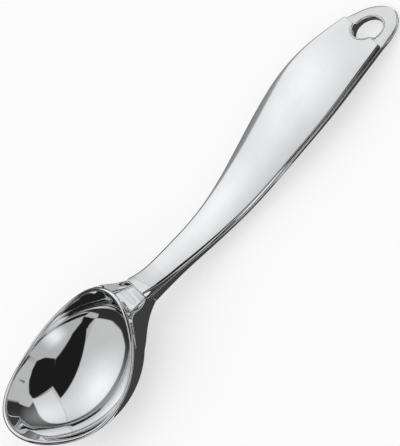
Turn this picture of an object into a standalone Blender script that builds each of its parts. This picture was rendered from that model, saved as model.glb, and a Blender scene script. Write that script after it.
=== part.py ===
"""Ice cream scoop with a chromed bowl and a hollow two-shell handle.

The model is laid out along X from the tip of the bowl (x = 0) to the hanging end,
with Y to the left and Z up. Heights count from just under the lowest point of the rim.
Everything is then turned about Y, so that the bowl and the handle's end both stand
on the ground, and moved so that the centre of the box's underside is the origin.
"""

import math

import bmesh
import bpy
from mathutils import Matrix, Vector

MM = 0.001

# Clearances
GAP = 0.3 * MM              # between two pieces that lie on each other
SEAM = 0.3 * MM             # between the two handle shells
CUT_OVERRUN = 1.0 * MM      # how far a cutter runs past the face that it opens

# Bowl
BOWL_LENGTH = 63.0 * MM
BOWL_WIDTH = 56.6 * MM
BOWL_DEPTH = 13.5 * MM      # outside, below the level that heights count from
BOWL_WALL = 1.7 * MM
BOWL_POINT = 0.048          # share by which the plan narrows towards both ends
BASE_ANGLE = math.radians(50.0)
FIRST_RING_ANGLE = math.radians(6.0)
SHOULDER_TIP_Z = 4.0 * MM   # top of the round base
SHOULDER_MIDDLE_Z = -1.2 * MM
SHOULDER_HEEL_Z = 1.0 * MM
RIM_LOW_FROM_TIP = 20.0 * MM
RIM_LOW_Z = 0.4 * MM
RIM_TIP_Z = 5.2 * MM
RIM_HEEL_Z = 14.4 * MM
RIM_TIP_CURVE = 1.4
RIM_HEEL_CURVE = 2.3
GROUND_FLAT_DEPTH = 0.45 * MM

# Neck between the bowl and the handle, in runs back from the bowl's heel
NECK_RUN = 6.7 * MM         # to the front edge of the cover
COVER_OVERHANG = 1.6 * MM   # how far the cover reaches over the neck
ROOT_RUN = -12.5 * MM       # where the flare starts on the bowl's flank
WING_RUN = -4.2 * MM        # where its edge leaves the bowl
FLANK_RUN = 1.6 * MM
THROAT_RUN = 4.5 * MM
ROOT_HALF = 20.6 * MM       # half the width across the flare
WING_HALF = 18.8 * MM
FLANK_HALF = 13.2 * MM
THROAT_HALF = 10.5 * MM
ROOT_EDGE_Z = 4.6 * MM      # height of the flare's widest line
WING_EDGE_Z = 6.0 * MM
FLANK_EDGE_Z = 6.0 * MM
THROAT_EDGE_Z = 5.4 * MM
KEEL_ROOT_Z = -8.6 * MM
KEEL_WING_Z = -6.2 * MM
KEEL_HEEL_Z = -3.4 * MM
KNUCKLE_FRONT_Z = 11.4 * MM
KNUCKLE_CREST_Z = 9.6 * MM
KNUCKLE_DIP_Z = 7.0 * MM
KNUCKLE_HALF_FRONT = 6.6 * MM
KNUCKLE_HALF_REAR = 3.9 * MM
SHOULDER_HOLLOW = 1.5       # how hollow the slopes beside the knuckle are, 1 is straight
KEEL_HOLLOW = 2.0           # how sharply the flare's underside runs in to the keel

# Handle, in runs from the front edge of the cover to the tip
WAIST_RUN = 10.3 * MM
SLIM_RUN = 27.0 * MM
SWELL_RUN = 36.4 * MM
PALM_RUN = 21.9 * MM
SHOULDER_RUN = 29.2 * MM
TAB_RUN = 13.8 * MM
TAB_TAPER = 0.24            # share by which the tab narrows besides its round end

FRONT_HALF = 5.6 * MM
WAIST_HALF = 6.0 * MM
SLIM_HALF = 8.4 * MM
SWELL_HALF = 14.1 * MM
PALM_HALF = 16.3 * MM
CREASE_HALF = 11.6 * MM

FRONT_EDGE_Z = 9.0 * MM
WAIST_EDGE_Z = 5.7 * MM
SLIM_EDGE_Z = 3.6 * MM
SWELL_EDGE_Z = 9.3 * MM
PALM_EDGE_Z = 13.1 * MM
CREASE_EDGE_Z = 13.0 * MM
TAB_TIP_Z = 9.0 * MM        # top of the tab at the tip

FRONT_CROWN = 0.8 * MM
WAIST_CROWN = 0.9 * MM
SLIM_CROWN = 1.6 * MM
PALM_CROWN = 2.4 * MM
CREASE_CROWN = 0.4 * MM

FRONT_SKIRT = 3.2 * MM
WAIST_SKIRT = 1.1 * MM
SLIM_SKIRT = 1.0 * MM
PALM_SKIRT = 0.9 * MM
CREASE_SKIRT = 1.2 * MM

FRONT_FLARE = 1.0 * MM      # how far the foot of the skirt stands out
SKIRT_FLARE = 0.25 * MM
CREASE_FLARE = 0.6 * MM

FRONT_SIDE = 4.6 * MM
WAIST_SIDE = 3.5 * MM
SLIM_SIDE = 1.5 * MM
PALM_SIDE = 1.8 * MM
CREASE_SIDE = 2.0 * MM
TAB_SIDE = 1.1 * MM
SIDE_LEAN = 0.25            # how far the sides lean in, per height

FRONT_BELLY = 0.9 * MM
WAIST_BELLY = 1.2 * MM
SLIM_BELLY = 2.1 * MM
PALM_BELLY = 2.9 * MM
CREASE_BELLY = 1.2 * MM
TAB_BELLY = 1.0 * MM
BELLY_FULLNESS = 0.75       # under 1 the belly is fuller than a half ellipse

SHELL_WALL = 1.0 * MM
COVER_END_WALL = 1.4 * MM
CHANNEL_RISE = 0.45 * MM    # extra wall at the channel's lower corners
CHANNEL_FLOOR = 0.3 * MM    # extra wall under the middle of the channel

# Hanging hole
BORE_DIAMETER = 11.3 * MM
SLEEVE_WALL = 0.9 * MM
SLEEVE_PROUD = 0.15 * MM
BORE_FROM_CREASE = 1.9 * MM
BORE_TILT = math.radians(8.5)
HOLLOW_TO_BORE = 2.2 * MM   # solid left in front of the sleeve
BORE_CUT_LENGTH = 30.0 * MM

# Tang, its rivets and the filler round it
SPIGOT_WIDTH = 5.6 * MM
SPIGOT_THICKNESS = 1.1 * MM
SPIGOT_ROOT = 2.5 * MM      # how deep the spigot starts inside the neck
SPIGOT_REACH = 17.0 * MM
BAR_SEAT = 0.55 * MM        # lifts a flat bar off the round floor
TANG_WIDTH = 5.6 * MM
TANG_THICKNESS = 1.1 * MM
TANG_START = 3.0 * MM       # behind the neck's rear face
TANG_LENGTH = 88.0 * MM
RIVET_DIAMETER = 2.4 * MM
RIVET_PITCH = 7.0 * MM
RIVET_BACK = 2.8 * MM       # from the spigot's end to the rear rivet
FILLER_START = 4.0 * MM     # behind the spigot's end
FILLER_LENGTH = 46.0 * MM

# Finishes: base colour, metallic value and roughness
MIRROR_CHROME = ((0.80, 0.80, 0.81), 1.0, 0.05)
ROLLED_STEEL = ((0.55, 0.55, 0.56), 1.0, 0.35)
CAST_FILLER = ((0.45, 0.44, 0.42), 0.0, 0.8)

# How the rest attitude is found and the flats are cut
STEEPEST_TURN = 0.5         # radians
HALVINGS = 50
CUT_TOLERANCE = 1e-7

# How finely the curved pieces are divided
BOWL_SIDES = 56
BASE_RINGS = 8
WALL_RINGS = 3
LIP_STEPS = 4
NECK_RINGS = 22
HANDLE_RINGS = 30
TAB_RINGS = 7
TAB_LAST_RING = 0.35        # share of a ring's turn that is left at the tip
TUBE_SIDES = 32
RIVET_SIDES = 16
INNER_RINGS = 18
SLOPE_STEPS = 7
KEEL_STEPS = 9
FACE_STEPS = 8
BELLY_STEPS = 8
ROOF_STEPS = 4
BAR_RINGS = 8
ENVELOPE_RINGS = 6
CREASE_STEP = 0.02 * MM     # length in which the envelope drops from the face to the tab

# Places along the handle that follow from the runs
HEEL_X = BOWL_LENGTH
ROOT_X = HEEL_X + ROOT_RUN
WING_X = HEEL_X + WING_RUN
FLANK_X = HEEL_X + FLANK_RUN
THROAT_X = HEEL_X + THROAT_RUN
COVER_FRONT_X = HEEL_X + NECK_RUN
NECK_REAR_X = COVER_FRONT_X + COVER_OVERHANG
WAIST_X = COVER_FRONT_X + WAIST_RUN
SLIM_X = WAIST_X + SLIM_RUN
SWELL_X = SLIM_X + SWELL_RUN
PALM_X = SWELL_X + PALM_RUN
CREASE_X = PALM_X + SHOULDER_RUN
TIP_X = CREASE_X + TAB_RUN
BORE_X = CREASE_X + BORE_FROM_CREASE
BOWL_CENTRE_X = BOWL_LENGTH / 2


def smooth(knots, x):
    """Read a smooth curve through (x, value) knots, level past both ends."""
    if x <= knots[0][0]:
        return knots[0][1]
    if x >= knots[-1][0]:
        return knots[-1][1]
    index = max(i for i, (place, _) in enumerate(knots) if place <= x)
    index = min(index, len(knots) - 2)

    def slope(i):
        """Slope at a knot: a weighted harmonic mean, level at a high or low point."""
        if i == 0 or i == len(knots) - 1:
            first, last = (0, 1) if i == 0 else (i - 1, i)
            run = knots[last][0] - knots[first][0]
            return (knots[last][1] - knots[first][1]) / run
        before = knots[i][0] - knots[i - 1][0]
        after = knots[i + 1][0] - knots[i][0]
        rise_before = (knots[i][1] - knots[i - 1][1]) / before
        rise_after = (knots[i + 1][1] - knots[i][1]) / after
        if rise_before * rise_after <= 0:
            return 0.0
        weight_before = before + 2 * after
        weight_after = 2 * before + after
        total = weight_before / rise_before + weight_after / rise_after
        return (weight_before + weight_after) / total

    (x0, v0), (x1, v1) = knots[index], knots[index + 1]
    run = x1 - x0
    t = (x - x0) / run
    h00 = 2 * t ** 3 - 3 * t ** 2 + 1
    h10 = t ** 3 - 2 * t ** 2 + t
    h01 = -2 * t ** 3 + 3 * t ** 2
    h11 = t ** 3 - t ** 2
    return h00 * v0 + h10 * run * slope(index) + h01 * v1 + h11 * run * slope(index + 1)


def stations(start, end, count):
    """Evenly spaced places from start to end."""
    return [start + (end - start) * i / (count - 1) for i in range(count)]


# Handle profiles along X

def half_width(x):
    """Half the width of the crowned face, which ends at the crease."""
    return smooth([
        (COVER_FRONT_X, FRONT_HALF),
        (WAIST_X, WAIST_HALF),
        (SLIM_X, SLIM_HALF),
        (SWELL_X, SWELL_HALF),
        (PALM_X, PALM_HALF),
        (CREASE_X, CREASE_HALF),
    ], x)


def flare(x):
    """How far the foot of the skirt and the back shell stand out past the face."""
    return smooth([
        (COVER_FRONT_X, FRONT_FLARE),
        (WAIST_X, SKIRT_FLARE),
        (PALM_X, SKIRT_FLARE),
        (CREASE_X, CREASE_FLARE),
    ], x)


def back_half(x):
    """Half the back shell's width, with the round end of the tab."""
    reach = min(max((x - CREASE_X) / TAB_RUN, 0.0), 1.0)
    return (half_width(x) + flare(x)) * (1 - TAB_TAPER * reach) * math.sqrt(1 - reach ** 3)


def edge_z(x):
    """Height of the edges of the crowned face."""
    return smooth([
        (COVER_FRONT_X, FRONT_EDGE_Z),
        (WAIST_X, WAIST_EDGE_Z),
        (SLIM_X, SLIM_EDGE_Z),
        (SWELL_X, SWELL_EDGE_Z),
        (PALM_X, PALM_EDGE_Z),
        (CREASE_X, CREASE_EDGE_Z),
    ], x)


def crown(x):
    """Rise of the face from its edges to its middle."""
    return smooth([
        (COVER_FRONT_X, FRONT_CROWN),
        (WAIST_X, WAIST_CROWN),
        (SLIM_X, SLIM_CROWN),
        (PALM_X, PALM_CROWN),
        (CREASE_X, CREASE_CROWN),
    ], x)


def seam_z(x):
    """Height of the seam, which runs on as the top of the tab."""
    if x <= CREASE_X:
        skirt = smooth([
            (COVER_FRONT_X, FRONT_SKIRT),
            (WAIST_X, WAIST_SKIRT),
            (SLIM_X, SLIM_SKIRT),
            (PALM_X, PALM_SKIRT),
            (CREASE_X, CREASE_SKIRT),
        ], x)
        return edge_z(x) - skirt
    start = CREASE_EDGE_Z - CREASE_SKIRT
    return start + (TAB_TIP_Z - start) * (x - CREASE_X) / TAB_RUN


def side_height(x):
    """Height of the back shell's side below the seam."""
    return smooth([
        (COVER_FRONT_X, FRONT_SIDE),
        (WAIST_X, WAIST_SIDE),
        (SLIM_X, SLIM_SIDE),
        (PALM_X, PALM_SIDE),
        (CREASE_X, CREASE_SIDE),
        (TIP_X, TAB_SIDE),
    ], x)


def belly(x):
    """Depth of the round back below the foot of the side."""
    return smooth([
        (COVER_FRONT_X, FRONT_BELLY),
        (WAIST_X, WAIST_BELLY),
        (SLIM_X, SLIM_BELLY),
        (PALM_X, PALM_BELLY),
        (CREASE_X, CREASE_BELLY),
        (TIP_X, TAB_BELLY),
    ], x)


def back_z(x):
    """Height of the middle of the handle's underside."""
    return seam_z(x) - side_height(x) - belly(x)


def rim_height(x):
    """Height of the bowl's rim, low before the middle and high at both ends."""
    if x > RIM_LOW_FROM_TIP:
        reach = (x - RIM_LOW_FROM_TIP) / (BOWL_LENGTH - RIM_LOW_FROM_TIP)
        return RIM_LOW_Z + (RIM_HEEL_Z - RIM_LOW_Z) * min(reach, 1.0) ** RIM_HEEL_CURVE
    reach = (RIM_LOW_FROM_TIP - x) / RIM_LOW_FROM_TIP
    return RIM_LOW_Z + (RIM_TIP_Z - RIM_LOW_Z) * min(reach, 1.0) ** RIM_TIP_CURVE


def shoulder_z(x):
    """Height of the bowl's shoulder, a parabola through its tip, middle and heel."""
    u = min(max(x / BOWL_LENGTH, 0.0), 1.0)
    ends = SHOULDER_TIP_Z * (1 - u) * (1 - 2 * u) + SHOULDER_HEEL_Z * u * (2 * u - 1)
    return ends + 4 * SHOULDER_MIDDLE_Z * u * (1 - u)


# Mesh helpers

def add_ring(bm, points):
    """Add one closed loop of edges and return them."""
    verts = [bm.verts.new(point) for point in points]
    count = len(verts)
    return [bm.edges.new((verts[i], verts[(i + 1) % count])) for i in range(count)]


def ring_verts(ring):
    """The ring's corners in their order round it."""
    count = len(ring)
    ordered = []
    for i, edge in enumerate(ring):
        following = ring[(i + 1) % count]
        shared = [v for v in edge.verts if v in following.verts]
        ordered.append(shared[0])
    return ordered


def loft(name, rings):
    """Join closed rings of equal count into one solid with closed ends."""
    bm = bmesh.new()
    loops = [add_ring(bm, points) for points in rings]
    for before, after in zip(loops, loops[1:]):
        bmesh.ops.bridge_loops(bm, edges=before + after)
    for end in (loops[0], loops[-1]):
        bm.faces.new(ring_verts(end))
    bmesh.ops.recalc_face_normals(bm, faces=bm.faces)
    mesh = bpy.data.meshes.new(name)
    bm.to_mesh(mesh)
    bm.free()
    return mesh


def shade(mesh, angle=math.radians(35)):
    """Shade the mesh smooth, with sharp edges past the angle."""
    mesh.shade_smooth()
    mesh.set_sharp_from_angle(angle=angle)


def make_material(name, finish):
    """A piece's own material with one of the finishes."""
    colour, metallic, roughness = finish
    material = bpy.data.materials.new(name)
    material.use_nodes = True
    shader = material.node_tree.nodes["Principled BSDF"]
    shader.inputs["Base Color"].default_value = (*colour, 1.0)
    shader.inputs["Metallic"].default_value = metallic
    shader.inputs["Roughness"].default_value = roughness
    return material


def add_piece(name, mesh, parent, finish):
    """Put a mesh in the scene as one named piece with its own material."""
    mesh.materials.clear()
    mesh.materials.append(make_material(name + "_finish", finish))
    piece = bpy.data.objects.new(name, mesh)
    bpy.context.collection.objects.link(piece)
    piece.parent = parent
    return piece


def add_cutter(name, mesh, parent):
    """Put a guide in the scene that only cuts or joins another piece."""
    cutter = bpy.data.objects.new(name, mesh)
    bpy.context.collection.objects.link(cutter)
    cutter.parent = parent
    cutter.hide_render = True
    cutter.display_type = "WIRE"
    return cutter


def apply_boolean(piece, cutter, operation="DIFFERENCE"):
    """Cut or join the piece by another object with a live modifier."""
    modifier = piece.modifiers.new(cutter.name, "BOOLEAN")
    modifier.operation = operation
    modifier.solver = "EXACT"
    modifier.object = cutter


# Bowl

def bowl_ring(share, grow, height_at):
    """A ring round the bowl at a share of its plan, with its height by place."""
    points = []
    for i in range(BOWL_SIDES):
        angle = 2 * math.pi * i / BOWL_SIDES
        along = math.cos(angle)
        half = BOWL_WIDTH / 2 * (1 - BOWL_POINT * along ** 2)
        x = BOWL_CENTRE_X + (BOWL_LENGTH / 2 + grow) * share * along
        y = (half + grow) * share * math.sin(angle)
        rim_x = BOWL_CENTRE_X + BOWL_LENGTH / 2 * along
        points.append(Vector((x, y, height_at(rim_x))))
    return points


def base_rings(grow, bottom):
    """Rings of the round base from its middle to its shoulder."""
    rings = []
    for angle in stations(FIRST_RING_ANGLE, BASE_ANGLE, BASE_RINGS):
        share = math.sin(angle) / math.sin(BASE_ANGLE)
        lift = (1 - math.cos(angle)) / (1 - math.cos(BASE_ANGLE))
        rings.append(bowl_ring(
            share, grow, lambda x, p=lift: bottom + (shoulder_z(x) - bottom) * p))
    return rings


def wall_rings(grow, top_drop):
    """Rings of the upright wall, from above the shoulder to under the lip."""
    rings = []
    for i in range(1, WALL_RINGS):
        part = i / WALL_RINGS
        rings.append(bowl_ring(
            1.0, grow,
            lambda x, p=part: shoulder_z(x) + (rim_height(x) - top_drop - shoulder_z(x)) * p))
    return rings


def lip_rings():
    """Half-round lip from the outer wall over to the inner one."""
    radius = BOWL_WALL / 2
    rings = []
    for i in range(LIP_STEPS + 1):
        angle = math.pi * i / LIP_STEPS
        grow = -radius + radius * math.cos(angle)
        lift = radius * math.sin(angle)
        rings.append(bowl_ring(
            1.0, grow, lambda x, z=lift: rim_height(x) - radius + z))
    return rings


def bowl_mesh():
    """The open bowl: base and wall outside, lip, then wall and base inside."""
    lip_radius = BOWL_WALL / 2
    outside = base_rings(0.0, -BOWL_DEPTH) + wall_rings(0.0, lip_radius)
    inside = base_rings(-BOWL_WALL, -BOWL_DEPTH + BOWL_WALL)
    inside += wall_rings(-BOWL_WALL, lip_radius)
    return loft("bowl", outside + lip_rings() + inside[::-1])


def bowl_cutter_mesh():
    """The bowl's outer form with its clearance, closed above the rim."""
    above = RIM_HEEL_Z + CUT_OVERRUN
    rings = base_rings(GAP, -BOWL_DEPTH - GAP) + wall_rings(GAP, 0.0)
    rings.append(bowl_ring(1.0, GAP, rim_height))
    rings.append(bowl_ring(1.0, GAP, lambda _: above))
    return loft("bowl_cutter", rings)


# Neck

def neck_section(x):
    """Closed section of the neck: flat knuckle, hollow shoulders, thin edges and a keel."""
    rear_top = seam_z(NECK_REAR_X) - SEAM / 2
    rear_half = back_half(NECK_REAR_X)
    width = smooth([
        (ROOT_X, ROOT_HALF),
        (WING_X, WING_HALF),
        (FLANK_X, FLANK_HALF),
        (THROAT_X, THROAT_HALF),
        (NECK_REAR_X, rear_half),
    ], x)
    edge = smooth([
        (ROOT_X, ROOT_EDGE_Z),
        (WING_X, WING_EDGE_Z),
        (FLANK_X, FLANK_EDGE_Z),
        (THROAT_X, THROAT_EDGE_Z),
        (NECK_REAR_X, rear_top - side_height(NECK_REAR_X) / 2),
    ], x)
    top = smooth([
        (WING_X, KNUCKLE_FRONT_Z),
        (HEEL_X, KNUCKLE_CREST_Z),
        (FLANK_X + (THROAT_X - FLANK_X) / 2, KNUCKLE_DIP_Z),
        (COVER_FRONT_X, seam_z(COVER_FRONT_X) - SEAM / 2),
        (NECK_REAR_X, rear_top),
    ], x)
    keel = smooth([
        (ROOT_X, KEEL_ROOT_Z),
        (WING_X, KEEL_WING_Z),
        (HEEL_X, KEEL_HEEL_Z),
        (NECK_REAR_X, back_z(NECK_REAR_X)),
    ], x)
    flat = smooth([
        (ROOT_X, KNUCKLE_HALF_FRONT),
        (HEEL_X, KNUCKLE_HALF_FRONT),
        (NECK_REAR_X, KNUCKLE_HALF_REAR),
    ], x)
    rear_share = smooth([(FLANK_X, 0.0), (NECK_REAR_X, 1.0)], x)
    hollow = SHOULDER_HOLLOW + (1 / SHOULDER_HOLLOW - SHOULDER_HOLLOW) * rear_share
    half = [(flat / 2, top), (flat, top)]
    for i in range(1, SLOPE_STEPS):
        part = i / SLOPE_STEPS
        half.append((flat + (width - flat) * part, edge + (top - edge) * (1 - part) ** hollow))
    sharpness = KEEL_HOLLOW + (1 - KEEL_HOLLOW) * rear_share
    for i in range(KEEL_STEPS):
        angle = math.pi / 2 * i / KEEL_STEPS
        half.append((width * math.cos(angle) ** sharpness,
                     edge + (keel - edge) * math.sin(angle)))
    points = [(0.0, top)] + half + [(0.0, keel)]
    points += [(-y, z) for y, z in reversed(half)]
    return [Vector((x, y, z)) for y, z in points]


def neck_mesh():
    """The flared neck, from inside the bowl's wall to the handle's front face."""
    places = stations(ROOT_X, COVER_FRONT_X, NECK_RINGS) + [NECK_REAR_X]
    return loft("neck", [neck_section(x) for x in places])


# Handle shells

def cover_section(x, inset, stand_out, foot):
    """Closed section of the cover: crowned top, skirts and a level foot."""
    width = half_width(x) - inset
    edge = edge_z(x) - inset
    rise = crown(x) * (width / half_width(x)) ** 2
    top = []
    for i in range(FACE_STEPS + 1):
        y = width * math.cos(math.pi * i / FACE_STEPS)
        top.append((y, edge + rise * (1 - (y / width) ** 2)))
    points = [(width + stand_out, foot)] + top + [(-width - stand_out, foot), (0.0, foot)]
    return [Vector((x, y, z)) for y, z in points]


def cover_mesh():
    """Outer form of the crowned cover."""
    places = stations(COVER_FRONT_X, CREASE_X, HANDLE_RINGS)
    return loft("handle_cover", [
        cover_section(x, 0.0, flare(x), seam_z(x) + SEAM / 2) for x in places])


def cover_hollow_mesh():
    """The room under the cover, open below."""
    start = NECK_REAR_X + COVER_END_WALL
    return loft("cover_hollow", [
        cover_section(x, SHELL_WALL, 0.0, seam_z(x) - CUT_OVERRUN)
        for x in stations(start, hollow_end(), INNER_RINGS)])


def belly_curve(half, foot, depth):
    """Half of a round belly, from the foot of the side to the middle."""
    points = []
    for i in range(BELLY_STEPS + 1):
        angle = math.pi / 2 * i / BELLY_STEPS
        y = half * math.cos(angle) ** BELLY_FULLNESS
        points.append((y, foot - depth * math.sin(angle)))
    return points


def mirrored_section(x, half):
    """Close a half outline, which ends on the middle below, by its mirror image."""
    points = half + [(-y, z) for y, z in reversed(half[:-1])]
    return [Vector((x, y, z)) for y, z in points + [(0.0, half[0][1])]]


def back_section(x):
    """Closed section of the back shell: level top, leaning sides and round belly."""
    top = seam_z(x) - SEAM / 2
    foot = seam_z(x) - side_height(x)
    foot_half = back_half(x) - min(SIDE_LEAN * side_height(x), back_half(x) / 2)
    return mirrored_section(x, [(back_half(x), top)] + belly_curve(foot_half, foot, belly(x)))


def channel_half(x):
    """Half the width of the hollow in both shells."""
    return half_width(x) + flare(x) - SIDE_LEAN * side_height(x) - SHELL_WALL


def channel_foot(x):
    """Height at which the channel's sides turn into its round floor."""
    return seam_z(x) - side_height(x) + CHANNEL_RISE


def channel_depth(x):
    """Depth of the channel's round floor."""
    return belly(x) - CHANNEL_FLOOR


def tab_places():
    """Places along the round end, closer together towards the tip."""
    places = []
    for i in range(1, TAB_RINGS + 1):
        angle = math.pi / 2 * i / (TAB_RINGS + TAB_LAST_RING)
        places.append(CREASE_X + TAB_RUN * math.sin(angle))
    return places


def back_mesh():
    """Outer form of the back shell with the tab at its end."""
    start = NECK_REAR_X + GAP
    places = stations(start, CREASE_X, HANDLE_RINGS) + tab_places()
    return loft("handle_back", [back_section(x) for x in places])


def hollow_end():
    """Where the handle's hollow stops short of the hole's sleeve."""
    return BORE_X - BORE_DIAMETER / 2 - SLEEVE_WALL - GAP - HOLLOW_TO_BORE


def back_hollow_mesh():
    """The channel in the back shell, open above and at its front end."""
    rings = []
    for x in stations(NECK_REAR_X - CUT_OVERRUN, hollow_end(), INNER_RINGS):
        curve = belly_curve(channel_half(x), channel_foot(x), channel_depth(x))
        half = [(channel_half(x), seam_z(x) + CUT_OVERRUN)] + curve
        rings.append(mirrored_section(x, half))
    return loft("back_hollow", rings)


def floor_z(x):
    """Height of the channel's floor in the middle."""
    return channel_foot(x) - channel_depth(x)


# Tang, rivets and filler

def bar_mesh(name, places, width, low_at, thickness):
    """A flat bar that follows a height along the handle."""
    rings = []
    for x in places:
        low = low_at(x)
        corners = [(width / 2, low), (width / 2, low + thickness),
                   (-width / 2, low + thickness), (-width / 2, low)]
        rings.append([Vector((x, y, z)) for y, z in corners])
    return loft(name, rings)


def spigot_low(x):
    """Underside of the neck's spigot."""
    return floor_z(x) + GAP + BAR_SEAT


def tang_low(x):
    """Underside of the tang, which lies on the spigot."""
    return spigot_low(x) + SPIGOT_THICKNESS + GAP


def spigot_end_x():
    """Rear end of the spigot."""
    return NECK_REAR_X + SPIGOT_REACH


def rivet_places():
    """Places of the two rivets, counted back from the spigot's end."""
    rear = spigot_end_x() - RIVET_BACK
    return [rear - RIVET_PITCH, rear]


def rivet_cylinders(name, places, radius, extra):
    """One upright cylinder at each place."""
    bm = bmesh.new()
    for x in places:
        low = spigot_low(x) - extra
        high = tang_low(x) + TANG_THICKNESS + extra
        matrix = Matrix.Translation((x, 0.0, (low + high) / 2))
        bmesh.ops.create_cone(
            bm, cap_ends=True, segments=RIVET_SIDES, radius1=radius, radius2=radius,
            depth=high - low, matrix=matrix)
    mesh = bpy.data.meshes.new(name)
    bm.to_mesh(mesh)
    bm.free()
    return mesh


def filler_mesh():
    """Cast filler that takes up the hollow round the tang."""
    start = spigot_end_x() + FILLER_START
    rings = []
    for x in stations(start, start + FILLER_LENGTH, INNER_RINGS):
        width = channel_half(x) - GAP
        roof = edge_z(x) - SHELL_WALL - GAP
        rise = crown(x) * (width / half_width(x)) ** 2
        half = []
        for i in range(1, ROOF_STEPS + 1):
            y = width * math.sin(math.pi / 2 * i / ROOF_STEPS)
            half.append((y, roof + rise * (1 - (y / width) ** 2)))
        half += belly_curve(width, channel_foot(x), channel_depth(x) - GAP)
        points = [(0.0, roof + rise)] + half + [(-y, z) for y, z in reversed(half[:-1])]
        rings.append([Vector((x, y, z)) for y, z in points])
    return loft("handle_filler", rings)


# Hanging hole

def bore_matrix():
    """Placement of the bore: its middle in the handle, its axis tilted to the tip."""
    middle = (seam_z(BORE_X) + back_z(BORE_X)) / 2
    tilt = Matrix.Rotation(BORE_TILT, 4, "Y")
    return Matrix.Translation((BORE_X, 0.0, middle)) @ tilt


def cylinder_mesh(name, radius, length, matrix):
    """A plain cylinder."""
    bm = bmesh.new()
    bmesh.ops.create_cone(
        bm, cap_ends=True, segments=TUBE_SIDES, radius1=radius, radius2=radius,
        depth=length, matrix=matrix)
    mesh = bpy.data.meshes.new(name)
    bm.to_mesh(mesh)
    bm.free()
    return mesh


def handle_envelope_mesh(proud):
    """Solid between the handle's outer faces near the hole, to trim the sleeve."""
    start = BORE_X - BORE_DIAMETER
    places = stations(start, CREASE_X, ENVELOPE_RINGS) + [CREASE_X + CREASE_STEP]
    places += stations(CREASE_X + CREASE_STEP * 2, TIP_X, ENVELOPE_RINGS)
    off_middle = ((BORE_DIAMETER / 2 + SLEEVE_WALL) / CREASE_HALF) ** 2
    rings = []
    for x in places:
        top = edge_z(x) + crown(x) * (1 - off_middle) if x <= CREASE_X else seam_z(x)
        low = seam_z(x) - side_height(x) - belly(x) * math.sqrt(1 - off_middle)
        width = BORE_DIAMETER
        corners = [(width, low - proud), (width, top + proud),
                   (-width, top + proud), (-width, low - proud)]
        rings.append([Vector((x, y, z)) for y, z in corners])
    return loft("handle_envelope", rings)


# Ground flats

def turned_height(point, turn):
    """Height of a point once the scoop is turned about Y."""
    return -point.x * math.sin(turn) + point.z * math.cos(turn)


def lowest(mesh, turn, start_x):
    """Lowest corner behind a place, once turned."""
    return min(turned_height(v.co, turn) for v in mesh.vertices if v.co.x >= start_x)


def rest_turn(bowl, back):
    """Turn about Y that lets the bowl and the handle's end touch the ground."""
    low, high = 0.0, STEEPEST_TURN
    for _ in range(HALVINGS):
        turn = (low + high) / 2
        if lowest(back, turn, SWELL_X) > lowest(bowl, turn, 0.0):
            low = turn
        else:
            high = turn
    return (low + high) / 2


def cut_ground_flat(mesh, turn, ground):
    """Cut the mesh level a little above its lowest point and close the cut."""
    bm = bmesh.new()
    bm.from_mesh(mesh)
    normal = Vector((-math.sin(turn), 0.0, math.cos(turn)))
    cut = bmesh.ops.bisect_plane(
        bm, geom=bm.verts[:] + bm.edges[:] + bm.faces[:], dist=CUT_TOLERANCE,
        plane_co=normal * ground, plane_no=normal, clear_inner=True)
    edges = [e for e in cut["geom_cut"] if isinstance(e, bmesh.types.BMEdge)]
    bmesh.ops.contextual_create(bm, geom=edges)
    bmesh.ops.recalc_face_normals(bm, faces=bm.faces)
    bm.to_mesh(mesh)
    bm.free()


def centre_on_ground(frame, pieces, ground):
    """Move the frame so that the box's underside is centred on the origin."""
    bpy.context.view_layer.update()
    graph = bpy.context.evaluated_depsgraph_get()
    corners = []
    for piece in pieces:
        mesh = piece.evaluated_get(graph).to_mesh()
        corners += [piece.matrix_world @ v.co for v in mesh.vertices]
        piece.evaluated_get(graph).to_mesh_clear()
    low_x = min(c.x for c in corners)
    high_x = max(c.x for c in corners)
    frame.location = (-(low_x + high_x) / 2, 0.0, -ground)


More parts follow.
